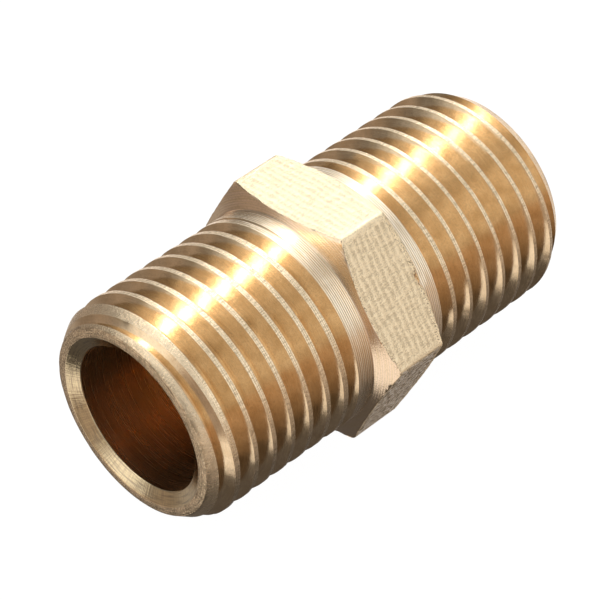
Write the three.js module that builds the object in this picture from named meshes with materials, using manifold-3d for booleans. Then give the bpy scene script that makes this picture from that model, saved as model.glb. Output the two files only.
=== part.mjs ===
// Hex nipple, G 1/4: a short brass pipe coupling with a male thread on each side of a hexagon.
// It is turned from one piece of hexagonal bar, so the model is one closed body.
//
// Millimetres, +Z up. The pipe axis is X and the origin is the middle of the part. Two of the
// six wrench flats face straight up and straight down.

import * as THREE from 'three';
import { mergeVertices } from 'three/addons/utils/BufferGeometryUtils.js';
import Module from 'manifold-3d';

// Driving dimensions.
const LENGTH = 27.5;
const ACROSS_FLATS = 14;
const THREAD_DIAMETER = 13.157;
const THREADS_PER_INCH = 19;
const THREAD_DEPTH = 0.856;
const THREAD_ANGLE = 55;
const BORE_DIAMETER = 8.85;

// Chamfers.
const MOUTH_DIAMETER = 10.34;
const MOUTH_DEPTH = 0.44;
const FACE_DIAMETER = 11.36;
const LEAD_IN_LENGTH = 1.3;
const HEX_EDGE_LENGTH = 2.98;
const HEX_CHAMFER_ANGLE = 23;

// The thread grooves. Each runs out next to the hexagon, where the die's throat left it shallow.
// The phase is where the crest line crosses the +Y side, in pitches from the middle of the part.
const ROOT_FLAT = 0.22;
const GROOVE_TAPER = 1 / 80;
const RUN_OUT_TURNS = 0.85;
const RUN_OUT_END = 2.5;
const FRONT_THREAD_PHASE = 0.341;
const REAR_THREAD_PHASE = 0.7;

// Worked out from the dimensions above.
const PITCH = 25.4 / THREADS_PER_INCH;
const HALF_LENGTH = LENGTH / 2;
const THREAD_RADIUS = THREAD_DIAMETER / 2;
const CORNER_RADIUS = ACROSS_FLATS / Math.sqrt(3);
const FLANK_SLOPE = Math.tan(THREE.MathUtils.degToRad(THREAD_ANGLE / 2));

// How finely round stretches are faceted, and how far a cutter reaches past what it cuts.
const FACETS_PER_TURN = 36;
const CUT_CLEARANCE = 0.06;

const wasm = await Module();
wasm.setup();

// A closed geometry as a solid that can be joined and cut.
function toSolid(geometry) {
  geometry.deleteAttribute('normal');
  geometry.deleteAttribute('uv');
  const merged = mergeVertices(geometry, 1e-5);
  return new wasm.Manifold(new wasm.Mesh({
    numProp: 3,
    vertProperties: new Float32Array(merged.attributes.position.array),
    triVerts: new Uint32Array(merged.index.array),
  }));
}

function toGeometry(solid) {
  const mesh = solid.getMesh();
  const geometry = new THREE.BufferGeometry();
  geometry.setAttribute('position', new THREE.BufferAttribute(mesh.vertProperties, 3));
  geometry.setIndex(new THREE.BufferAttribute(mesh.triVerts, 1));
  geometry.computeVertexNormals();
  return geometry;
}

// The turned shape: barrel, lead-in chamfers, the cones that chamfer the hexagon, and the bore.
function turnedBlank() {
  const coneSlope = Math.tan(THREE.MathUtils.degToRad(HEX_CHAMFER_ANGLE));
  const peakRadius = CORNER_RADIUS + 0.2;
  const coneX = (radius) => HEX_EDGE_LENGTH / 2 + (CORNER_RADIUS - radius) * coneSlope;
  const rearProfile = [
    new THREE.Vector2(peakRadius, coneX(peakRadius)),
    new THREE.Vector2(THREAD_RADIUS, coneX(THREAD_RADIUS)),
    new THREE.Vector2(THREAD_RADIUS, HALF_LENGTH - LEAD_IN_LENGTH),
    new THREE.Vector2(FACE_DIAMETER / 2, HALF_LENGTH),
    new THREE.Vector2(MOUTH_DIAMETER / 2, HALF_LENGTH),
    new THREE.Vector2(BORE_DIAMETER / 2, HALF_LENGTH - MOUTH_DEPTH),
  ];
  const frontProfile = rearProfile.map((point) => new THREE.Vector2(point.x, -point.y)).reverse();
  const blank = new THREE.LatheGeometry([...frontProfile, ...rearProfile, frontProfile[0]], FACETS_PER_TURN);
  blank.rotateZ(-Math.PI / 2);
  return toSolid(blank);
}

// The hexagonal bar, longer than the part, with two flats facing up and down.
function hexagonalBar() {
  const corners = [];
  for (let corner = 0; corner < 6; corner += 1) {
    const angle = (corner * Math.PI) / 3;
    corners.push(new THREE.Vector2(CORNER_RADIUS * Math.cos(angle), CORNER_RADIUS * Math.sin(angle)));
  }
  const barLength = LENGTH + 2;
  const bar = new THREE.ExtrudeGeometry(new THREE.Shape(corners), { depth: barLength, bevelEnabled: false });
  bar.translate(0, 0, -barLength / 2);
  bar.rotateZ(Math.PI / 2);
  bar.rotateY(Math.PI / 2);
  return toSolid(bar);
}

// The groove of one right-hand thread, as a straight V bar that is wound round the axis.
// side is -1 for the front thread and +1 for the rear one.
function threadGroove(side, phase) {
  const top = THREAD_DEPTH + CUT_CLEARANCE;
  const rootHalf = ROOT_FLAT / 2;
  const topHalf = rootHalf + top * FLANK_SLOPE;
  const section = new THREE.Shape([
    new THREE.Vector2(-rootHalf, 0),
    new THREE.Vector2(rootHalf, 0),
    new THREE.Vector2(topHalf, top),
    new THREE.Vector2(-topHalf, top),
  ]);
  const turnsAt = (x) => Math.round((x / PITCH - phase - 0.5) * FACETS_PER_TURN) / FACETS_PER_TURN;
  const outerTurn = turnsAt(side * (HALF_LENGTH + PITCH));
  const innerTurn = turnsAt(side * RUN_OUT_END);
  const turns = Math.abs(outerTurn - innerTurn);
  const firstTurn = Math.min(outerTurn, innerTurn);
  const steps = Math.round(turns * FACETS_PER_TURN);
  const groove = new THREE.ExtrudeGeometry(section, { depth: turns, steps, bevelEnabled: false });
  const points = groove.attributes.position;
  for (let i = 0; i < points.count; i += 1) {
    const turn = firstTurn + points.getZ(i);
    const centreX = (turn + phase + 0.5) * PITCH;
    const taperLift = (HALF_LENGTH - Math.abs(centreX)) * GROOVE_TAPER;
    const runOut = Math.max(0, 1 - Math.abs(turn - innerTurn) / RUN_OUT_TURNS);
    const lift = Math.max(0, taperLift) + runOut * top;
    const radius = THREAD_RADIUS - THREAD_DEPTH + lift + points.getY(i);
    const x = centreX + side * runOut * top * FLANK_SLOPE + points.getX(i);
    const angle = 2 * Math.PI * turn;
    points.setXYZ(i, x, radius * Math.cos(angle), radius * Math.sin(angle));
  }
  return toSolid(groove);
}

const brass = new THREE.MeshStandardMaterial({ color: 0xc9a063, roughness: 0.3, metalness: 1 });

const body = turnedBlank()
  .intersect(hexagonalBar())
  .subtract(threadGroove(-1, FRONT_THREAD_PHASE))
  .subtract(threadGroove(1, REAR_THREAD_PHASE));

const nippleBody = new THREE.Mesh(toGeometry(body), brass);
nippleBody.name = 'nipple_body';

const hexNipple = new THREE.Group();
hexNipple.add(nippleBody);

export default hexNipple;
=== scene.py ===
"""Hex nipple, G 1/4: the visible surface of the brass body, its materials and its studio.

The body is one mesh that follows the CAD solid and adds what a machined part shows close up: a
slightly rounded thread root, run-outs beside the hexagon, rounded hexagon corners, worn crests,
burrs and small dents. Lengths are in millimetres while the mesh is built, and in metres in Blender.
"""
import math

import bmesh
import bpy
import numpy as np
from mathutils import Matrix, Vector


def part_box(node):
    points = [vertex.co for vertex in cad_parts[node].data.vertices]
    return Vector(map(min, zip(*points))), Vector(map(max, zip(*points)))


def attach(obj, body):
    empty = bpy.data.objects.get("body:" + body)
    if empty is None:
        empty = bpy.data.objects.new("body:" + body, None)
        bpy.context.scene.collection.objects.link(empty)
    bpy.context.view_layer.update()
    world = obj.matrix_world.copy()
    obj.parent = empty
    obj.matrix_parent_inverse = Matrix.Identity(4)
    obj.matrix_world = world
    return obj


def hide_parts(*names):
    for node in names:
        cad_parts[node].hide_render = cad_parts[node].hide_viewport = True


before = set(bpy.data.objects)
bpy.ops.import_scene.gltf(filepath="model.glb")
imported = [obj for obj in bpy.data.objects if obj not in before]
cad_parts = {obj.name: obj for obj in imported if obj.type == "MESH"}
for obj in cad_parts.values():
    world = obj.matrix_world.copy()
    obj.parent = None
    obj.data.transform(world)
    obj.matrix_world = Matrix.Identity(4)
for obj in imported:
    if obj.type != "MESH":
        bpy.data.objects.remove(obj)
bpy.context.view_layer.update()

MM = 0.001
FULL_TURN = 2 * math.pi
SIXTH = math.pi / 3
low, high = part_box("nipple_body")

# The CAD solid's own sizes.
HALF_LENGTH = high[0] / MM
ACROSS_FLATS = (high[2] - low[2]) / MM
CORNER_RADIUS = ACROSS_FLATS / math.sqrt(3)

# The thread: G 1/4, 55 degrees, 19 to the inch, right-hand. Its groove is a little less deep than
# a sharp one of that width. A phase is where a crest line crosses the +Y side, in pitches.
PITCH = 25.4 / 19
THREAD_RADIUS = 13.157 / 2
HALF_THREAD_ANGLE = math.radians(55 / 2)
FLANK_SLOPE = math.tan(HALF_THREAD_ANGLE)
GROOVE_WIDTH = 1.0
ROOT_ROUND = 0.05
DEPTH_SHARE = 0.98
THREAD_DEPTH = DEPTH_SHARE * GROOVE_WIDTH / 2 / FLANK_SLOPE
FRONT_PHASE = 0.341
REAR_PHASE = 0.700

# The groove gets a little shallower towards the hexagon, and then runs out. Past the run-out's end
# its root goes on rising, up to RUN_OUT_TOP times the groove's depth.
TAPER_START = 6.5
TAPER_LIFT = 0.10
RUN_OUT_START = 3.75
RUN_OUT_END = 2.46
RUN_OUT_TOP = 1.2

# The end faces, the mouths, the bore and the lead-in chamfers. The bore starts just past the
# mouth chamfer. A face falls away by FACE_ROUND towards its rim, as the power FACE_CURVE. A
# thread's surface ends at EDGE_X, at least EDGE_ROOM outside the end face.
BORE_RADIUS = 8.85 / 2
MOUTH_RADIUS = 10.34 / 2
MOUTH_DEPTH = 0.44
BORE_HALF_LENGTH = HALF_LENGTH - 1.06 * MOUTH_DEPTH
FACE_RADIUS = 11.36 / 2
FACE_ROUND = 0.07
FACE_CURVE = 2.2
EDGE_X = HALF_LENGTH - FACE_ROUND
EDGE_ROOM = 0.01
LEAD_IN_LENGTH = 1.3
LEAD_IN_BLEND = 0.14

# The hexagon. A cone turns away from the thread's outside by CONE_TURN, over a small fillet.
HEX_EDGE_HALF = 1.49
HEX_CHAMFER_SLOPE = math.tan(math.radians(23))
CORNER_ROUND = 0.30
FOOT_FILLET = 0.09
CONE_TURN = math.atan2(1, HEX_CHAMFER_SLOPE)
CONE_FOOT = HEX_EDGE_HALF + (CORNER_RADIUS - THREAD_RADIUS) * HEX_CHAMFER_SLOPE
CONE_START = CONE_FOOT + FOOT_FILLET * math.tan(CONE_TURN / 2)

# What sets the rear end apart: its hexagon edge lies further back, and its groove is deeper.
REAR_SHIFT = 0.20
REAR_DEEPER = 0.055

# Wear and burrs, with how many random knots each has round the axis. A crest's wear is full where
# its groove is at least FULL_CUT deep, and blends into the next turn's over WEAR_JOIN radians.
CREST_WEAR = 0.008
CREST_KNOTS = 180
FULL_CUT = 0.4
WEAR_JOIN = 0.3
FACE_WEAR = 0.012
FACE_KNOTS = 70
EDGE_BURR = 0.045
EDGE_KNOTS = 200
EDGE_BREAK = 0.02
MOUTH_BREAK = 0.3 * EDGE_BREAK

# Dents and nicks, placed by x and by angle in degrees, or drawn at random from a range. They move
# no point that is more than DENT_REACH below the turned surface, or within MOUTH_ROOM of a mouth.
FRONT_DENTS = ((-12.3, 83), (-12.5, 106), (-12.15, 125), (-12.1, 152), (-13.6, 175), (-13.7, 47))
DENTS_PER_END = 34
DENTED_END = (11.9, 13.75)
DENTS_BETWEEN = 60
DENTED_MIDDLE = (-12, 12)
DENT_SIZES = (0.10, 0.20)
DENT_DEPTHS = (0.01, 0.04)
DENT_REACH = 0.06
MOUTH_ROOM = 0.02
NICKS = ((2.10, 150.0), (2.17, 152.2), (2.15, 154.8))
NICK_SIZE = 0.16
NICK_DEPTH = 0.45

# The seeds of the random draws.
FRONT_EDGE_SEED = 11
REAR_EDGE_SEED = 12
REAR_FACE_SEED = 21
FRONT_FACE_SEED = 22
DENT_SEED = 5

# How finely the mesh is divided. The groove's edge is found by halving a reach of WIDEST_REACH.
# Rows of the thread within SNAP of a ring end on it, and points within MERGE become one.
SECTOR_STEPS = 40
CORNER_STEPS = (0.0, 0.6, 1.3, 2.3)
TURNS = range(-12, 13)
GROOVE_FRACTIONS = (0.0, 0.105, 0.2, 0.286, 0.62, 1.0)
CREST_STEPS = 3
FILLET_STEPS = 5
CONE_SHARES = (0.17, 0.34, 0.5, 0.66, 0.8, 0.92)
FLAT_ROWS = 16
FACE_SHARES = (0.08, 0.2, 0.36, 0.55, 0.75, 0.92)
MOUTH_SHARES = (0.06, 0.25, 0.45, 0.65, 0.85, 0.96)
BORE_ROWS = 24
HALVINGS = 30
WIDEST_REACH = PITCH / 2 * 0.98
SNAP = 0.012
MERGE = 0.0005
SHARP_ANGLE = math.radians(24)

ZONES = ("groove", "crest", "cone", "flat", "face", "mouth", "bore")


# ---------------------------------------------------------------- shape of the body

def ring_angles():
    """Angles round the pipe axis from +Y towards +Z, closer together at the six corners."""
    near_corner = np.radians(CORNER_STEPS)
    leaving = near_corner[:-1]
    arriving = SIXTH - near_corner[-2:0:-1]
    steps = SECTOR_STEPS - len(leaving) - len(arriving)
    middle = np.linspace(near_corner[-1], SIXTH - near_corner[-1], steps)
    sector = np.concatenate([leaving, middle, arriving])
    return np.concatenate([sector + k * SIXTH for k in range(6)])


ANGLES = ring_angles()
COUNT = len(ANGLES)


def uneven(seed, knots):
    """Smooth uneven values from about -1 to 1 round the axis, from that many random knots."""
    values = np.random.default_rng(seed).uniform(-1, 1, knots)
    place = ANGLES / FULL_TURN * knots
    first = np.floor(place).astype(int)
    share = place - first
    share = share * share * (3 - 2 * share)
    return values[first % knots] * (1 - share) + values[(first + 1) % knots] * share


class Skin:
    """The points and faces of the body, gathered piece by piece."""

    def __init__(self):
        self.points = []
        self.faces = []
        self.zones = []
        self.total = 0

    def add(self, x, radius, angle):
        """Adds points and returns their numbers."""
        points = np.stack([x, radius * np.cos(angle), radius * np.sin(angle)], axis=-1)
        self.points.append(points.reshape(-1, 3))
        first = self.total
        self.total += points.size // 3
        return np.arange(first, self.total)

    def ring(self, x, radius):
        """A ring round the axis. Its x and its radius may each be one number or one per angle."""
        x = np.broadcast_to(x, (COUNT,))
        return self.add(x, np.broadcast_to(radius, (COUNT,)), ANGLES)

    def face(self, corners, zone):
        """One face with each corner once, if that leaves at least three of them."""
        kept = []
        for corner in corners:
            if corner not in kept:
                kept.append(corner)
        if len(kept) > 2:
            self.faces.append(kept)
            self.zones.append(ZONES.index(zone))

    def bridge(self, first, second, zone):
        """Faces between two rings that follow each other."""
        next_first = np.roll(first, -1)
        next_second = np.roll(second, -1)
        sides = (first, next_first, next_second, second)
        for corners in zip(*(side.tolist() for side in sides)):
            self.face(corners, zone)


def envelope(x):
    """The turned radius of a threaded end before its groove is cut."""
    slope = (THREAD_RADIUS - FACE_RADIUS) / LEAD_IN_LENGTH
    into_lead_in = np.abs(x) - (HALF_LENGTH - LEAD_IN_LENGTH)
    return THREAD_RADIUS - slope * LEAD_IN_BLEND * np.logaddexp(0, into_lead_in / LEAD_IN_BLEND)


def groove_height(distance):
    """Height of the groove's wall above its root, at a distance from its middle."""
    tangent = ROOT_ROUND * math.cos(HALF_THREAD_ANGLE)
    arc = ROOT_ROUND - np.sqrt(np.maximum(ROOT_ROUND**2 - np.minimum(distance, tangent) ** 2, 0))
    return arc + np.maximum(distance - tangent, 0) / FLANK_SLOPE


def groove_lift(centre):
    """How far the groove's root is raised above full depth, by where its middle is."""
    inward = np.abs(centre)
    taper = np.clip((TAPER_START - inward) / (TAPER_START - RUN_OUT_START), 0, 1)
    run_out = np.clip((RUN_OUT_START - inward) / (RUN_OUT_START - RUN_OUT_END), 0, RUN_OUT_TOP)
    return taper * TAPER_LIFT + run_out * (THREAD_DEPTH - TAPER_LIFT)


def groove_half_width(centre, root, side):
    """Distance from the groove's middle to where its wall meets the turned surface."""
    near = np.zeros_like(centre)
    far = np.full_like(centre, WIDEST_REACH)
    for _ in range(HALVINGS):
        middle = (near + far) / 2
        inside = root + groove_height(middle) < envelope(centre + side * middle)
        near = np.where(inside, middle, near)
        far = np.where(inside, far, middle)
    return near


def groove_wall(centre, root, reach, side, wear, fraction):
    """The x and radius of a groove's wall, at a fraction of its reach from the groove's middle."""
    x = centre + side * reach * fraction
    radius = np.minimum(root + groove_height(reach * fraction), envelope(x))
    if fraction == 1:
        return x + side * wear * FLANK_SLOPE, radius - wear
    return x, radius


def crest_wear(turn, edge):
    """How much of a crest's edge is worn off round one turn, from 0 to 1."""
    here = uneven(100 * edge + turn, CREST_KNOTS)
    before = uneven(100 * edge + turn - 1, CREST_KNOTS)
    join = np.clip(ANGLES / WEAR_JOIN, 0, 1)
    return np.maximum(here * join + before * (1 - join), 0)


def thread_rows(phase, end, deeper):
    """Rows of x, radius and zone from crest line to crest line, for one threaded end.

    The rows follow the helix. The row that starts a turn on is the one a pitch further along.
    """
    rows = []
    for turn in TURNS:
        crest = PITCH * (ANGLES / FULL_TURN + phase + turn)
        centre = crest + PITCH / 2
        lift = groove_lift(centre)
        centre = centre + end * lift * FLANK_SLOPE
        root = THREAD_RADIUS - THREAD_DEPTH + lift - deeper
        left = groove_half_width(centre, root, -1)
        right = groove_half_width(centre, root, 1)
        full_wear = np.clip((envelope(centre) - root) / FULL_CUT, 0, 1) * CREST_WEAR
        wear_left = full_wear * crest_wear(turn, 1)
        wear_right = full_wear * crest_wear(turn, 2)
        for step in range(CREST_STEPS):
            x = crest + (centre - left - crest) * step / CREST_STEPS
            rows.append((x, envelope(x) - wear_left * step / CREST_STEPS, "crest"))
        for fraction in reversed(GROOVE_FRACTIONS):
            x, radius = groove_wall(centre, root, left, -1, wear_left, fraction)
            rows.append((x, radius, "groove"))
        for fraction in GROOVE_FRACTIONS[1:]:
            x, radius = groove_wall(centre, root, right, 1, wear_right, fraction)
            rows.append((x, radius, "groove" if fraction < 1 else "crest"))
        for step in range(1, CREST_STEPS):
            x = centre + right + (crest + PITCH - centre - right) * step / CREST_STEPS
            rows.append((x, envelope(x) - wear_right * (1 - step / CREST_STEPS), "crest"))
    return rows


def radius_where(rows, x):
    """The thread's radius at one place along the axis, all the way round."""
    places = np.array([row[0] for row in rows])
    radii = np.array([row[1] for row in rows])
    return np.array([np.interp(x, places[:, k], radii[:, k]) for k in range(COUNT)])


def edge_ring(skin, rows, x):
    """The ring where a thread meets the rounded rim of its end face."""
    return skin.ring(x, np.maximum(radius_where(rows, x), FACE_RADIUS + EDGE_ROOM))


def add_thread(skin, rows, start, finish, x_start, x_finish):
    """The threaded surface between two rings. Crests on the lead-in look like the end face."""
    per_turn = len(rows) // len(TURNS)
    x = np.array([row[0] for row in rows])
    radius = np.array([row[1] for row in rows])
    inside = (x > x_start + SNAP) & (x < x_finish - SNAP)
    index = np.where(x <= x_start + SNAP, start, finish)
    angle = np.broadcast_to(ANGLES, x.shape)
    index[inside] = skin.add(x[inside], radius[inside], angle[inside])
    for j in range(len(rows) - 1 - per_turn):
        this, following = index[j], index[j + 1]
        this_next = np.append(this[1:], index[j + per_turn][0])
        following_next = np.append(following[1:], index[j + 1 + per_turn][0])
        zone = rows[j][2]
        on_lead_in = np.abs(rows[j][0]) > HALF_LENGTH - LEAD_IN_LENGTH
        sides = (this, this_next, following_next, following)
        quads = zip(*(side.tolist() for side in sides))
        for corners, is_on_lead_in in zip(quads, on_lead_in.tolist()):
            skin.face(corners, "face" if is_on_lead_in and zone == "crest" else zone)


def hexagon_radius():
    """Distance from the axis to the hexagon's side at each angle, with rounded corners."""
    off_corner = (ANGLES + SIXTH / 2) % SIXTH - SIXTH / 2
    off_flat = (ANGLES % SIXTH) - SIXTH / 2
    side = ACROSS_FLATS / 2 / np.cos(off_flat)
    centre = (ACROSS_FLATS / 2 - CORNER_ROUND) / math.cos(SIXTH / 2)
    under = np.maximum(CORNER_ROUND**2 - (centre * np.sin(off_corner)) ** 2, 0)
    rounded = centre * np.cos(off_corner) + np.sqrt(under)
    tangent = math.atan2(CORNER_ROUND / 2, centre + CORNER_ROUND * math.cos(SIXTH / 2))
    return np.where(np.abs(off_corner) < tangent, rounded, side)


def hexagon_end(side, seed):
    """Rings of x, radius and zone from the foot of a chamfer cone to the burred edge of the flats.

    They are those of a rear end on a centred hexagon.
    """
    rings = []
    for k in range(1, FILLET_STEPS + 1):
        bend = CONE_TURN * k / FILLET_STEPS
        x = CONE_START - FOOT_FILLET * math.sin(bend)
        rings.append((x, THREAD_RADIUS + FOOT_FILLET * (1 - math.cos(bend)), "cone"))
    foot_x, foot_radius, _ = rings[-1]
    edge = HEX_EDGE_HALF + (CORNER_RADIUS - side) * HEX_CHAMFER_SLOPE
    for share in CONE_SHARES:
        x = foot_x + (edge - foot_x) * share
        rings.append((x, foot_radius + (side - foot_radius) * share, "cone"))
    burred_edge = edge + EDGE_BURR * uneven(seed, EDGE_KNOTS)
    rings.append((burred_edge, side - EDGE_BREAK, "flat"))
    rings.append((burred_edge - 2 * EDGE_BREAK, side, "flat"))
    return rings


def add_hexagon(skin, start, finish):
    """The hexagon and its two chamfer cones, between the foot rings of the cones."""
    side = hexagon_radius()
    front = hexagon_end(side, FRONT_EDGE_SEED)
    rear_end = hexagon_end(side, REAR_EDGE_SEED)
    rear = [(x + REAR_SHIFT, radius, zone) for x, radius, zone in rear_end]
    rings = [(start, "cone")]
    for x, radius, zone in front:
        rings.append((skin.ring(-x, radius), zone))
    front_edge, rear_edge = front[-1][0], rear[-1][0]
    for k in range(1, FLAT_ROWS):
        share = k / FLAT_ROWS
        rings.append((skin.ring(rear_edge * share - front_edge * (1 - share), side), "flat"))
    zones = [zone for _, _, zone in rear]
    for (x, radius, _), zone in zip(reversed(rear), ["flat"] + zones[:0:-1]):
        rings.append((skin.ring(x, radius), zone))
    rings.append((finish, "cone"))
    for (first, zone), (second, _) in zip(rings, rings[1:]):
        skin.bridge(first, second, zone)


def end_profile(seed):
    """Rings of x, radius and zone from the outer edge of the rear end face to the bore."""
    rim = FACE_RADIUS + (THREAD_RADIUS - FACE_RADIUS) * FACE_ROUND / LEAD_IN_LENGTH
    wear = FACE_WEAR * uneven(seed, FACE_KNOTS)
    profile = []
    for share in FACE_SHARES:
        x = HALF_LENGTH - FACE_ROUND * (1 - share) ** FACE_CURVE
        radius = rim - (rim - MOUTH_RADIUS) * share
        profile.append((x, radius + wear * (1 - share), "face"))
    profile.append((HALF_LENGTH - MOUTH_BREAK, MOUTH_RADIUS + MOUTH_BREAK + wear, "face"))
    for share in MOUTH_SHARES:
        x = HALF_LENGTH - MOUTH_DEPTH * share
        radius = MOUTH_RADIUS + (BORE_RADIUS - MOUTH_RADIUS) * share
        profile.append((x, radius + wear * (1 - share), "mouth"))
    profile.append((BORE_HALF_LENGTH, BORE_RADIUS, "mouth"))
    return profile


def add_inside(skin, rear_edge, front_edge):
    """Both end faces, both mouth chamfers and the bore, from the rear to the front."""
    rings = [(rear_edge, "face")]
    for x, radius, zone in end_profile(REAR_FACE_SEED):
        rings.append((skin.ring(x, radius), zone))
    for x in np.linspace(BORE_HALF_LENGTH, -BORE_HALF_LENGTH, BORE_ROWS)[1:-1]:
        rings.append((skin.ring(x, BORE_RADIUS), "bore"))
    profile = reversed(end_profile(FRONT_FACE_SEED))
    front = [(skin.ring(-x, radius), zone) for x, radius, zone in profile]
    rings.append((front[0][0], "bore"))
    for (ring, _), (_, zone) in zip(front[1:], front):
        rings.append((ring, zone))
    rings.append((front_edge, "face"))
    for (first, _), (second, zone) in zip(rings, rings[1:]):
        skin.bridge(first, second, zone)


def dent_list():
    """The x, angle, size and depth of every dent and nick."""
    draw = np.random.default_rng(DENT_SEED)
    places = list(FRONT_DENTS)
    for end in (-1, 1):
        for _ in range(DENTS_PER_END):
            places.append((end * draw.uniform(*DENTED_END), draw.uniform(0, 360)))
    for _ in range(DENTS_BETWEEN):
        places.append((draw.uniform(*DENTED_MIDDLE), draw.uniform(0, 360)))
    dents = []
    for x, angle in places:
        dents.append((x, angle, draw.uniform(*DENT_SIZES), draw.uniform(*DENT_DEPTHS)))
    return dents + [(x, angle, NICK_SIZE, NICK_DEPTH) for x, angle in NICKS]


def press_dents(points):
    """Presses the dents and nicks into the outside, but not into the groove or the bore."""
    radius = np.hypot(points[:, 1], points[:, 2])
    angles = np.arctan2(points[:, 2], points[:, 1])
    clear_of_mouth = radius > MOUTH_RADIUS + MOUTH_ROOM
    outside = clear_of_mouth & (radius > envelope(points[:, 0]) - DENT_REACH)
    push = np.zeros(len(points))
    for x, angle, size, depth in dent_list():
        along = points[:, 0] - x
        around = radius * np.angle(np.exp(1j * (angles - math.radians(angle))))
        push += np.where(outside, depth * np.exp(-(along**2 + around**2) / size**2), 0)
    points[:, 1] -= push * points[:, 1] / radius
    points[:, 2] -= push * points[:, 2] / radius


def join_rows(mesh):
    """Joins the rows of points that lie on one another where a groove has run out."""
    work = bmesh.new()
    work.from_mesh(mesh)
    bmesh.ops.remove_doubles(work, verts=work.verts, dist=MERGE * MM)
    work.to_mesh(mesh)
    work.free()


def build_body():
    """The whole body as one closed mesh, with a material number for each zone."""
    skin = Skin()
    front_rows = thread_rows(FRONT_PHASE, -1, 0.0)
    rear_rows = thread_rows(REAR_PHASE, 1, REAR_DEEPER)
    rear_start = CONE_START + REAR_SHIFT
    front_edge = edge_ring(skin, front_rows, -EDGE_X)
    front_foot = skin.ring(-CONE_START, THREAD_RADIUS)
    rear_foot = skin.ring(rear_start, THREAD_RADIUS)
    rear_edge = edge_ring(skin, rear_rows, EDGE_X)
    add_thread(skin, front_rows, front_edge, front_foot, -EDGE_X, -CONE_START)
    add_hexagon(skin, front_foot, rear_foot)
    add_thread(skin, rear_rows, rear_foot, rear_edge, rear_start, EDGE_X)
    add_inside(skin, rear_edge, front_edge)
    points = np.concatenate(skin.points)
    press_dents(points)
    mesh = bpy.data.meshes.new("nipple")
    mesh.from_pydata((points * MM).tolist(), [], skin.faces)
    mesh.polygons.foreach_set("material_index", skin.zones)
    join_rows(mesh)
    mesh.shade_smooth()
    mesh.set_sharp_from_angle(angle=SHARP_ANGLE)
    piece = bpy.data.objects.new("nipple", mesh)
    bpy.context.scene.collection.objects.link(piece)
    return piece


# ---------------------------------------------------------------- materials

def material(name):
    """A new material, with its nodes and links."""
    mat = bpy.data.materials.new(name)
    mat.use_nodes = True
    return mat, mat.node_tree.nodes, mat.node_tree.links


class Graph:
    """Shorthand for making and joining shader nodes."""

    def __init__(self, nodes, links):
        self.nodes = nodes
        self.links = links

    def feed(self, socket, value):
        """Joins an input to another socket, or sets it to a number or a colour."""
        if isinstance(value, bpy.types.NodeSocket):
            self.links.new(value, socket)
        else:
            socket.default_value = value

    def math(self, operation, *values):
        node = self.nodes.new("ShaderNodeMath")
        node.operation = operation
        for socket, value in zip(node.inputs, values):
            self.feed(socket, value)
        return node.outputs[0]

    def add(self, *values):
        total = values[0]
        for value in values[1:]:
            total = self.math("ADD", total, value)
        return total

    def times(self, first, second):
        return self.math("MULTIPLY", first, second)

    def size(self, value):
        return self.math("ABSOLUTE", value)

    def vector(self, x, y, z):
        node = self.nodes.new("ShaderNodeCombineXYZ")
        for socket, value in zip(node.inputs, (x, y, z)):
            self.feed(socket, value)
        return node.outputs[0]

    def remap(self, value, low_in, high_in, low_out, high_out, smooth=False):
        """Carries low_in to high_in over to low_out to high_out, and stays flat beyond them."""
        node = self.nodes.new("ShaderNodeMapRange")
        if smooth:
            node.interpolation_type = "SMOOTHSTEP"
        for socket, number in zip(node.inputs, (value, low_in, high_in, low_out, high_out)):
            self.feed(socket, number)
        return node.outputs[0]

    def rise(self, value, low_in, high_in, top=1.0):
        """0 below low_in, and up to the top at high_in."""
        return self.remap(value, low_in, high_in, 0.0, top)

    def fall(self, value, low_in, high_in, top=1.0):
        """The top below low_in, and down to 0 at high_in."""
        return self.remap(value, low_in, high_in, top, 0.0)

    def noise(self, place, scale, detail=2.0, roughness=0.5):
        node = self.nodes.new("ShaderNodeTexNoise")
        self.feed(node.inputs["Vector"], place)
        node.inputs["Scale"].default_value = scale
        node.inputs["Detail"].default_value = detail
        node.inputs["Roughness"].default_value = roughness
        return node.outputs[0]

    def blend(self, share, first, second):
        """The first colour where the share is 0, and the second where it is 1."""
        node = self.nodes.new("ShaderNodeMix")
        node.data_type = "RGBA"
        self.feed(node.inputs["Factor"], share)
        self.feed(node.inputs["A"], first)
        self.feed(node.inputs["B"], second)
        return node.outputs["Result"]


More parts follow.
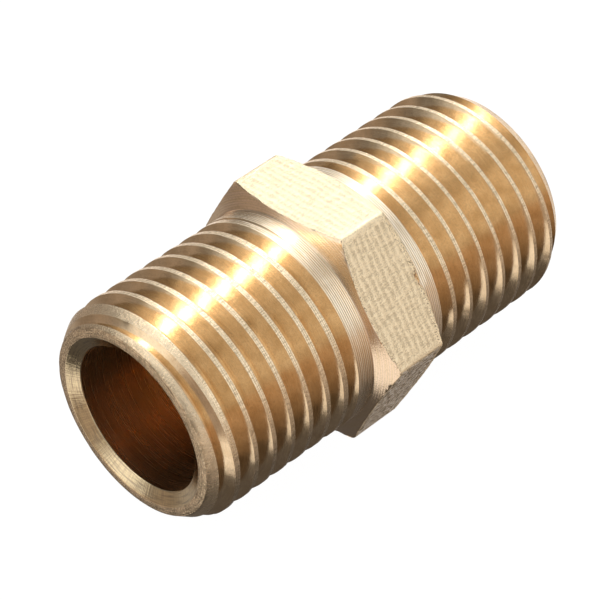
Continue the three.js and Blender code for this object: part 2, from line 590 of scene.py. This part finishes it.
class Finish(Graph):
    """One brass material: its coordinates in millimetres, its relief and its colour."""

    def __init__(self, name):
        self.mat, nodes, links = material(name)
        super().__init__(nodes, links)
        self.shader = nodes["Principled BSDF"]
        self.shader.inputs["Metallic"].default_value = 1
        scale = nodes.new("ShaderNodeVectorMath")
        scale.operation = "SCALE"
        scale.inputs["Scale"].default_value = 1 / MM
        links.new(nodes.new("ShaderNodeTexCoord").outputs["Object"], scale.inputs[0])
        self.place = scale.outputs[0]
        split = nodes.new("ShaderNodeSeparateXYZ")
        links.new(self.place, split.inputs[0])
        self.x, self.y, self.z = split.outputs
        squares = self.add(self.times(self.y, self.y), self.times(self.z, self.z))
        self.radius = self.math("SQRT", squares)
        self.angle = self.math("ARCTAN2", self.z, self.y)
        self.relief = None

    def round_marks(self, profile, pitch, arc, detail=3.0):
        """Uneven lines round the axis: pitch apart along the profile, about arc long."""
        around = CORNER_RADIUS / arc
        place = self.vector(self.math("DIVIDE", profile, pitch),
                            self.times(self.math("DIVIDE", self.y, self.radius), around),
                            self.times(self.math("DIVIDE", self.z, self.radius), around))
        return self.noise(place, 1.0, detail, 0.6)

    def feed_lines(self, profile, pitch, waver):
        """Evenly spaced tool lines across the profile, pushed to and fro by the waver."""
        push = self.times(waver, FEED_WAVER)
        phase = self.add(self.times(profile, FULL_TURN / pitch), push)
        return self.times(self.math("SINE", phase), 0.5)

    def raise_by(self, height, depth):
        """Adds a pattern of that depth, in millimetres, to the relief of the surface."""
        part = self.times(height, depth)
        self.relief = part if self.relief is None else self.add(self.relief, part)

    def finish(self, colour, roughness):
        self.feed(self.shader.inputs["Base Color"], colour)
        self.feed(self.shader.inputs["Roughness"], roughness)
        bump = self.nodes.new("ShaderNodeBump")
        bump.inputs["Strength"].default_value = 1.0
        bump.inputs["Distance"].default_value = MM
        self.links.new(self.relief, bump.inputs["Height"])
        self.links.new(bump.outputs[0], self.shader.inputs["Normal"])
        return self.mat


# Brass in its different states, as red, green, blue and alpha.
BRASS = (0.81, 0.622, 0.405, 1)
BRASS_DEEP = (0.69, 0.505, 0.305, 1)
BRASS_RED = (0.78, 0.55, 0.35, 1)
BRASS_WHITE = (1.00, 0.87, 0.68, 1)
# The near-white of the painted glints, a painted reflection, on the lower flat.
PAINTED_GLINT_WHITE = (1.00, 0.95, 0.88, 1)
BRASS_PALE = (0.95, 0.77, 0.53, 1)
BRASS_PINK = (0.86, 0.67, 0.50, 1)
BRASS_YELLOW = (1.00, 0.84, 0.58, 1)
BRASS_GREEN = (0.76, 0.62, 0.37, 1)
BRASS_KHAKI = (0.67, 0.55, 0.37, 1)
BRASS_DULL = (0.58, 0.45, 0.29, 1)
# Painted shade in the valleys of the tool lines.
BRASS_LINE_SHADE = (0.42, 0.33, 0.22, 1)
# A dark stain; on the lower flat it paints dark streaks of shade.
BRASS_STAIN_AND_SHADE = (0.32, 0.24, 0.15, 1)

# Spacing of the tool lines on the bands and cones, the flats and the end faces, and how far
# they waver, in radians.
FEED_WAVER = 5.0
TURNING_FEED = 0.125
CHATTER_PITCH = 0.42
FACING_FEED = 0.13

# Where the plain bands beside the hexagon give way to the crests of the thread.
BAND_FULL = 3.1
BAND_GONE = 3.6

# The worn margin of a flat, measured across it from its middle.
MARGIN_START = 3.60
MARGIN_FULL = 3.72

# The lower flat, which is rougher than the others and carries painted shade and painted glints:
# its number in sixths of a turn from +Y towards +Z. The noise of each side lies SIDE_SHIFT away
# from that of the one before.
ROUGH_SIDE = -3
SIDE_SHIFT = 7.3


def groove_brass():
    """The polished walls of the thread, with faint tool lines and a slight unevenness."""
    finish = Finish("brass_groove")
    mottle = finish.noise(finish.place, 1.0, 4.0, 0.6)
    lines = finish.round_marks(finish.add(finish.x, finish.radius), 0.06, 1.6)
    dents = finish.noise(finish.place, 2.6, 2.0)
    grain = finish.noise(finish.place, 9.0, 3.0, 0.7)
    finish.raise_by(lines, 0.0014)
    finish.raise_by(dents, 0.0025)
    finish.raise_by(grain, 0.0016)
    colour = finish.blend(finish.rise(mottle, 0.36, 0.64), BRASS, BRASS_DEEP)
    colour = finish.blend(finish.fall(grain, 0.34, 0.50, 0.6), colour, BRASS_DULL)
    colour = finish.blend(finish.rise(lines, 0.50, 0.70, 0.3), colour, BRASS_PALE)
    return finish.finish(colour, finish.remap(lines, 0.3, 0.7, 0.12, 0.20))


def crest_brass():
    """The turned outside: crests of the thread and the bands beside the hexagon."""
    finish = Finish("brass_crest")
    band = finish.fall(finish.size(finish.x), BAND_FULL, BAND_GONE)
    crest = finish.math("SUBTRACT", 1.0, band)
    waver = finish.noise(finish.place, 0.3, 1.0)
    lines = finish.feed_lines(finish.x, TURNING_FEED, waver)
    marks = finish.round_marks(finish.x, 0.07, 1.4)
    short = finish.vector(finish.times(finish.x, 3.0),
                          finish.times(finish.y, 14.0), finish.times(finish.z, 14.0))
    ticks = finish.noise(short, 1.0, 3.0, 0.7)
    finish.raise_by(lines, 0.010)
    finish.raise_by(marks, 0.005)
    finish.raise_by(finish.times(ticks, crest), 0.014)
    colour = finish.blend(finish.remap(marks, 0.30, 0.60, 0.3, 1.0), BRASS, BRASS_WHITE)
    ticked = finish.blend(finish.rise(ticks, 0.38, 0.56), BRASS_DULL, BRASS_PALE)
    colour = finish.blend(crest, colour, ticked)
    # Painted shade in the valleys of the tool lines, strongest on the bands.
    dark = finish.times(finish.fall(lines, -0.5, 0.0), finish.remap(band, 0.0, 1.0, 0.3, 0.8))
    colour = finish.blend(dark, colour, BRASS_LINE_SHADE)
    return finish.finish(colour, finish.remap(marks, 0.3, 0.7, 0.20, 0.30))


def cone_brass():
    """The turned chamfers of the hexagon."""
    finish = Finish("brass_cone")
    waver = finish.noise(finish.place, 0.4, 1.0)
    lines = finish.feed_lines(finish.radius, TURNING_FEED, waver)
    marks = finish.round_marks(finish.radius, 0.07, 2.0)
    grain = finish.noise(finish.place, 10.0, 3.0, 0.7)
    finish.raise_by(lines, 0.0013)
    finish.raise_by(marks, 0.002)
    finish.raise_by(grain, 0.005)
    colour = finish.blend(finish.rise(marks, 0.35, 0.65), BRASS_PINK, BRASS)
    # Painted shade in the valleys of the tool lines.
    colour = finish.blend(finish.fall(lines, -0.5, 0.2, 0.16), colour, BRASS_LINE_SHADE)
    colour = finish.blend(finish.fall(grain, 0.36, 0.50, 0.5), colour, BRASS_DULL)
    return finish.finish(colour, finish.remap(marks, 0.3, 0.7, 0.08, 0.13))


class Flat(Finish):
    """A finish with coordinates along and across the sides of the hexagon."""

    def __init__(self, name):
        super().__init__(name)
        self.side = self.math("FLOOR", self.math("DIVIDE", self.angle, SIXTH))
        off_middle = self.add(self.angle, self.times(self.side, -SIXTH), -SIXTH / 2)
        self.across = self.times(self.radius, self.math("SINE", off_middle))
        self.shift = self.times(self.side, SIDE_SHIFT)

    def marks(self, along, across, detail=2.0, roughness=0.5):
        """Noise with that many marks per millimetre along and across, different on each side."""
        place = self.vector(self.times(self.x, along), self.times(self.across, across), self.shift)
        return self.noise(place, 1.0, detail, roughness)


def rough_lower_flat_painted_light(finish, colour):
    """Rough relief on the lower flat only, with painted shade and painted glints along its streaks.
    """
    rough = finish.fall(finish.size(finish.add(finish.side, -ROUGH_SIDE)), 0.2, 0.8)
    streak = finish.marks(3.0, 3.4, 3.0, 0.9)
    finish.raise_by(finish.times(rough, streak), 0.30)
    # Painted shade: the low parts of the streaks are darkened.
    painted_shade_streaks = finish.times(rough, finish.fall(streak, 0.45, 0.50))
    colour = finish.blend(painted_shade_streaks, colour, BRASS_STAIN_AND_SHADE)
    # Painted glints: near-white streaks of reflected light on the high parts of the streaks.
    painted_glints = finish.times(rough, finish.rise(streak, 0.50, 0.54))
    return finish.blend(painted_glints, colour, PAINTED_GLINT_WHITE)


def burred_edge(finish, colour, grain):
    """A dotted line of burrs where the flats meet the chamfer cones."""
    inward = finish.add(HEX_EDGE_HALF + CORNER_RADIUS * HEX_CHAMFER_SLOPE,
                        finish.times(finish.radius, -HEX_CHAMFER_SLOPE),
                        finish.times(finish.size(finish.x), -1.0))
    dotted = finish.blend(finish.rise(grain, 0.40, 0.47), BRASS_STAIN_AND_SHADE, BRASS_YELLOW)
    return finish.blend(finish.fall(inward, 0.05, 0.12), colour, dotted)


def flat_brass():
    """The drawn sides of the hexagonal bar: lines along the bar crossed by chatter marks."""
    finish = Flat("brass_flat")
    drawn = finish.marks(2.4, 10.0, 2.0, 0.6)
    scratch = finish.marks(0.25, 7.0)
    bow = finish.marks(0.5, 0.4)
    broken = finish.marks(12.0, 3.0, 2.0, 0.7)
    broad = finish.marks(1.4, 1.7, 3.0, 0.6)
    grain = finish.noise(finish.place, 13.0, 2.0, 0.7)
    middle = finish.fall(finish.size(finish.across), MARGIN_START, MARGIN_FULL)
    chatter = finish.feed_lines(finish.x, CHATTER_PITCH, finish.times(bow, 1.4))
    chatter = finish.times(chatter, finish.remap(broken, 0.3, 0.7, 0.2, 1.0))
    chatter = finish.times(chatter, middle)
    finish.raise_by(drawn, 0.014)
    finish.raise_by(chatter, 0.026)
    finish.raise_by(broken, 0.012)
    finish.raise_by(grain, 0.030)
    finish.raise_by(broad, 0.040)
    weave = finish.add(finish.times(drawn, 0.26), finish.times(chatter, 0.15),
                       finish.times(broken, 0.20), finish.times(grain, 0.44),
                       finish.times(broad, 0.08))
    colour = finish.blend(finish.rise(weave, 0.42, 0.535), BRASS_KHAKI, BRASS_YELLOW)
    colour = finish.blend(finish.rise(scratch, 0.60, 0.66, 0.6), colour, BRASS_YELLOW)
    colour = rough_lower_flat_painted_light(finish, colour)
    colour = finish.blend(finish.fall(middle, 0.0, 1.0, 0.25), colour, BRASS_YELLOW)
    colour = burred_edge(finish, colour, grain)
    return finish.finish(colour, finish.remap(weave, 0.40, 0.60, 0.52, 0.38))


def face_brass():
    """The faced and handled end faces and lead-ins: duller, stained and scratched."""
    finish = Finish("brass_face")
    lead_in = finish.rise(finish.radius, FACE_RADIUS + 0.05, FACE_RADIUS + 0.2)
    waver = finish.noise(finish.place, 0.6, 2.0)
    profile = finish.add(finish.radius, finish.times(finish.size(finish.x), 0.5))
    rings = finish.feed_lines(profile, FACING_FEED, waver)
    lines = finish.round_marks(profile, 0.06, 1.5, 4.0)
    stain = finish.noise(finish.place, 1.3, 4.0, 0.65)
    specks = finish.noise(finish.place, 8.0, 4.0, 0.75)
    finish.raise_by(rings, 0.008)
    finish.raise_by(lines, 0.020)
    finish.raise_by(specks, 0.030)
    colour = finish.blend(finish.rise(stain, 0.40, 0.60), BRASS_DULL, BRASS)
    colour = finish.blend(finish.rise(specks, 0.54, 0.62), colour, BRASS_PALE)
    pits = finish.times(finish.fall(specks, 0.36, 0.46, 0.9),
                        finish.remap(lead_in, 0.0, 1.0, 1.0, 0.4))
    colour = finish.blend(pits, colour, BRASS_STAIN_AND_SHADE)
    scores = finish.times(finish.fall(lines, 0.36, 0.48),
                          finish.remap(lead_in, 0.0, 1.0, 1.0, 0.5))
    colour = finish.blend(scores, colour, BRASS_STAIN_AND_SHADE)
    colour = finish.blend(finish.times(lead_in, 0.60), colour, BRASS_PALE)
    return finish.finish(colour, finish.remap(stain, 0.35, 0.65, 0.30, 0.22))


def mouth_brass():
    """The countersunk mouths, with fine marks both round and across the chamfer."""
    finish = Finish("brass_mouth")
    lines = finish.round_marks(finish.radius, 0.06, 2.2)
    spokes = finish.vector(finish.times(finish.radius, 0.6), finish.times(finish.angle, 45.0), 0.0)
    ticks = finish.noise(spokes, 1.0, 3.0, 0.65)
    finish.raise_by(lines, 0.007)
    finish.raise_by(ticks, 0.010)
    colour = finish.blend(finish.rise(ticks, 0.35, 0.65), BRASS_DULL, BRASS_GREEN)
    # Painted shade in the valleys of the fine round marks.
    colour = finish.blend(finish.fall(lines, 0.38, 0.50, 0.9), colour, BRASS_LINE_SHADE)
    return finish.finish(colour, finish.remap(lines, 0.3, 0.7, 0.07, 0.11))


def bore_brass():
    """The drilled bore, with long round drill marks."""
    finish = Finish("brass_bore")
    lines = finish.round_marks(finish.x, 0.08, 9.0, 2.0)
    wide = finish.round_marks(finish.x, 1.1, 6.0, 1.0)
    finish.raise_by(lines, 0.0004)
    finish.raise_by(wide, 0.002)
    colour = finish.blend(finish.rise(wide, 0.35, 0.65), BRASS_RED, BRASS_DEEP)
    return finish.finish(colour, finish.remap(lines, 0.3, 0.7, 0.18, 0.30))


# ---------------------------------------------------------------- studio

# The camera: where it looks and from how far, in millimetres, and its angles in degrees.
CAMERA_AIM = (-0.603, 0.518, -0.025)
CAMERA_DISTANCE = 154.97
CAMERA_AZIMUTH = -42.11
CAMERA_ELEVATION = 38.96
CAMERA_ROLL = -4.58
SENSOR_WIDTH = 36
FOCAL_LENGTH = 168.55

# The edges of the horizon and of the dark patch straight below the part, as sines of elevation.
HORIZON = (-0.08, 0.05)
DARK_PATCH = (-0.768, -0.760)

# Red, green and blue shares of the light that the table throws up.
TABLE_TINT = (1.0, 0.80, 0.66)

# The table, in metres, and the colours of the studio.
FLOOR_HALF_SIZE = 1
FLOOR_GREY = (0.06, 0.06, 0.06, 1)
WHITE = (1, 1, 1, 1)


def make_camera():
    azimuth = math.radians(CAMERA_AZIMUTH)
    elevation = math.radians(CAMERA_ELEVATION)
    back = Vector((math.sin(azimuth) * math.cos(elevation),
                   -math.cos(azimuth) * math.cos(elevation), math.sin(elevation)))
    place = Vector(CAMERA_AIM) * MM + back * (CAMERA_DISTANCE * MM)
    data = bpy.data.cameras.new("camera")
    data.sensor_width = SENSOR_WIDTH
    data.lens = FOCAL_LENGTH
    data.clip_start = 0.01
    data.clip_end = 20
    camera = bpy.data.objects.new("camera", data)
    camera.matrix_world = (Matrix.Translation(place)
                           @ back.to_track_quat("Z", "Y").to_matrix().to_4x4()
                           @ Matrix.Rotation(math.radians(CAMERA_ROLL), 4, "Z"))
    bpy.context.scene.collection.objects.link(camera)
    bpy.context.scene.camera = camera


def toward(azimuth, elevation):
    """The direction at an azimuth from +X towards +Y and a height above the table, in degrees."""
    turn = math.radians(azimuth)
    climb = math.radians(elevation)
    return Vector((math.cos(climb) * math.cos(turn), math.cos(climb) * math.sin(turn),
                   math.sin(climb)))


class Sky(Graph):
    """The studio round the part, as brightness by direction. Angles are in degrees."""

    def __init__(self, nodes, links):
        super().__init__(nodes, links)
        self.direction = nodes.new("ShaderNodeTexCoord").outputs["Generated"]
        self.height = self.along((0, 0, 1))
        self.above = self.remap(self.height, *HORIZON, 0.0, 1.0, smooth=True)
        self.below = self.math("SUBTRACT", 1.0, self.above)
        self.off_patch = self.remap(self.height, *DARK_PATCH, 0.0, 1.0, smooth=True)
        self.back_screen = self.panel(104, 14, 36, 26, 8)

    def along(self, axis):
        """The cosine between the direction and an axis."""
        node = self.nodes.new("ShaderNodeVectorMath")
        node.operation = "DOT_PRODUCT"
        self.links.new(self.direction, node.inputs[0])
        node.inputs[1].default_value = axis
        return node.outputs["Value"]

    def within(self, axis, half, soft):
        """1 within that many degrees of the plane square to an axis, with a soft edge."""
        inner = math.sin(math.radians(half - soft))
        outer = math.sin(math.radians(half + soft))
        return self.remap(self.size(self.along(axis)), inner, outer, 1.0, 0.0, smooth=True)

    def panel(self, azimuth, elevation, half_width, half_height, soft):
        """1 inside a soft-edged rectangle on the sky, 0 outside it."""
        middle = toward(azimuth, elevation)
        right = toward(azimuth + 90, 0)
        shape = self.times(self.within(right, half_width, soft),
                           self.within(middle.cross(right), half_height, soft))
        return self.times(shape, self.math("GREATER_THAN", self.along(middle), 0.0))

    def spot(self, azimuth, elevation, radius, soft):
        """1 inside a soft-edged circle on the sky, 0 outside it."""
        inner = math.cos(math.radians(radius - soft))
        outer = math.cos(math.radians(radius + soft))
        closeness = self.along(toward(azimuth, elevation))
        return self.remap(closeness, outer, inner, 0.0, 1.0, smooth=True)

    def lit(self, light, shapes):
        """The light with each shape added at its strength."""
        for shape, strength in shapes:
            light = self.add(light, self.times(shape, strength))
        return light

    def screened(self, light, screens):
        """The light with each screen letting only its share through."""
        for shape, share in screens:
            light = self.times(light, self.remap(shape, 0.0, 1.0, 1.0, share))
        return light


def room_light(sky):
    """Brightness above the table: a plain room, two dark screens and the softboxes."""
    room = sky.add(0.60, sky.remap(sky.height, 0.55, 0.90, 0.0, 0.10, smooth=True))
    room = sky.screened(room, (
        (sky.back_screen, 0.28),
        (sky.panel(-162, 12, 19, 20, 6), 0.52),
    ))
    return sky.lit(room, (
        (sky.panel(-78, 27, 30, 22, 10), 0.56),
        (sky.panel(163, 24, 14, 34, 8), 0.70),
        (sky.panel(82, 76, 33, 22, 9), 0.90),
        (sky.panel(20, 36, 26, 16, 8), 0.80),
        (sky.panel(56, 31, 14, 13, 6), 0.60),
        (sky.panel(-36, 41, 13, 12, 6), 0.12),
        (sky.spot(38, 58, 12, 6), 1.10),
        (sky.spot(34, 54.6, 5.0, 2.0), 14.0),
    ))


def card_light(sky):
    """Brightness below the horizon: white cards, and a little light everywhere."""
    cards = sky.lit(0.0, (
        (sky.panel(180, -41, 32, 10, 2), 0.85),
        (sky.panel(35, -24, 30, 20, 6), 0.60),
        (sky.panel(104, -28, 17, 9, 4), 0.20),
    ))
    return sky.add(sky.times(cards, sky.off_patch), 0.05)


def table_light(sky):
    """Brightness of the table itself, which gets darker towards the part."""
    table = sky.screened(sky.remap(sky.height, -0.70, -0.05, 0.16, 0.68), (
        (sky.panel(95, -28, 27, 21, 6), 0.36),
    ))
    return sky.add(sky.times(table, sky.off_patch), 0.06)


def sky_colour(sky):
    """Plain light from the room and the cards, and tinted light from the table, in one colour."""
    plain = sky.add(sky.times(room_light(sky), sky.above), sky.times(card_light(sky), sky.below))
    plain = sky.lit(plain, ((sky.panel(156, 0, 11, 7, 3), 0.27),))
    on_screen = sky.times(sky.times(sky.back_screen, sky.above), 0.085)
    tinted = sky.add(sky.times(table_light(sky), sky.below), on_screen)
    low_screens = (
        (sky.panel(182, -15, 11, 17, 4), 0.85),
        (sky.panel(177, -12, 7, 7, 3), 0.60),
        (sky.panel(130, -6, 11, 9, 4), 0.55),
    )
    plain = sky.screened(plain, low_screens)
    tinted = sky.screened(tinted, low_screens)
    return sky.vector(*(sky.add(plain, sky.times(tinted, share)) for share in TABLE_TINT))


def make_world():
    """The studio as the brass mirrors it. The camera itself sees plain white."""
    world = bpy.data.worlds.new("studio")
    world.use_nodes = True
    nodes, links = world.node_tree.nodes, world.node_tree.links
    studio = nodes["Background"]
    links.new(sky_colour(Sky(nodes, links)), studio.inputs["Color"])
    white = nodes.new("ShaderNodeBackground")
    white.inputs["Color"].default_value = WHITE
    mix = nodes.new("ShaderNodeMixShader")
    links.new(nodes.new("ShaderNodeLightPath").outputs["Is Camera Ray"], mix.inputs[0])
    links.new(studio.outputs[0], mix.inputs[1])
    links.new(white.outputs[0], mix.inputs[2])
    links.new(mix.outputs[0], nodes["World Output"].inputs[0])
    bpy.context.scene.world = world


def make_floor():
    """A white table that glows, so that shadows on it stay faint. The brass doesn't mirror it."""
    mesh = bpy.data.meshes.new("floor")
    z = -ACROSS_FLATS / 2 * MM
    corners = [(-1, -1), (1, -1), (1, 1), (-1, 1)]
    points = [(x * FLOOR_HALF_SIZE, y * FLOOR_HALF_SIZE, z) for x, y in corners]
    mesh.from_pydata(points, [], [(0, 1, 2, 3)])
    mat, nodes, _ = material("floor")
    shader = nodes["Principled BSDF"]
    shader.inputs["Base Color"].default_value = FLOOR_GREY
    shader.inputs["Roughness"].default_value = 0.9
    shader.inputs["Specular IOR Level"].default_value = 0.0
    shader.inputs["Emission Color"].default_value = WHITE
    shader.inputs["Emission Strength"].default_value = 0.98
    mesh.materials.append(mat)
    floor = bpy.data.objects.new("floor", mesh)
    floor.visible_glossy = False
    floor.visible_shadow = False
    bpy.context.scene.collection.objects.link(floor)


body = build_body()
for make_brass in (groove_brass, crest_brass, cone_brass, flat_brass, face_brass, mouth_brass,
                   bore_brass):
    body.data.materials.append(make_brass())
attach(body, "root")
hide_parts("nipple_body")

make_camera()
make_world()
make_floor()
bpy.context.scene.view_settings.view_transform = "Standard"
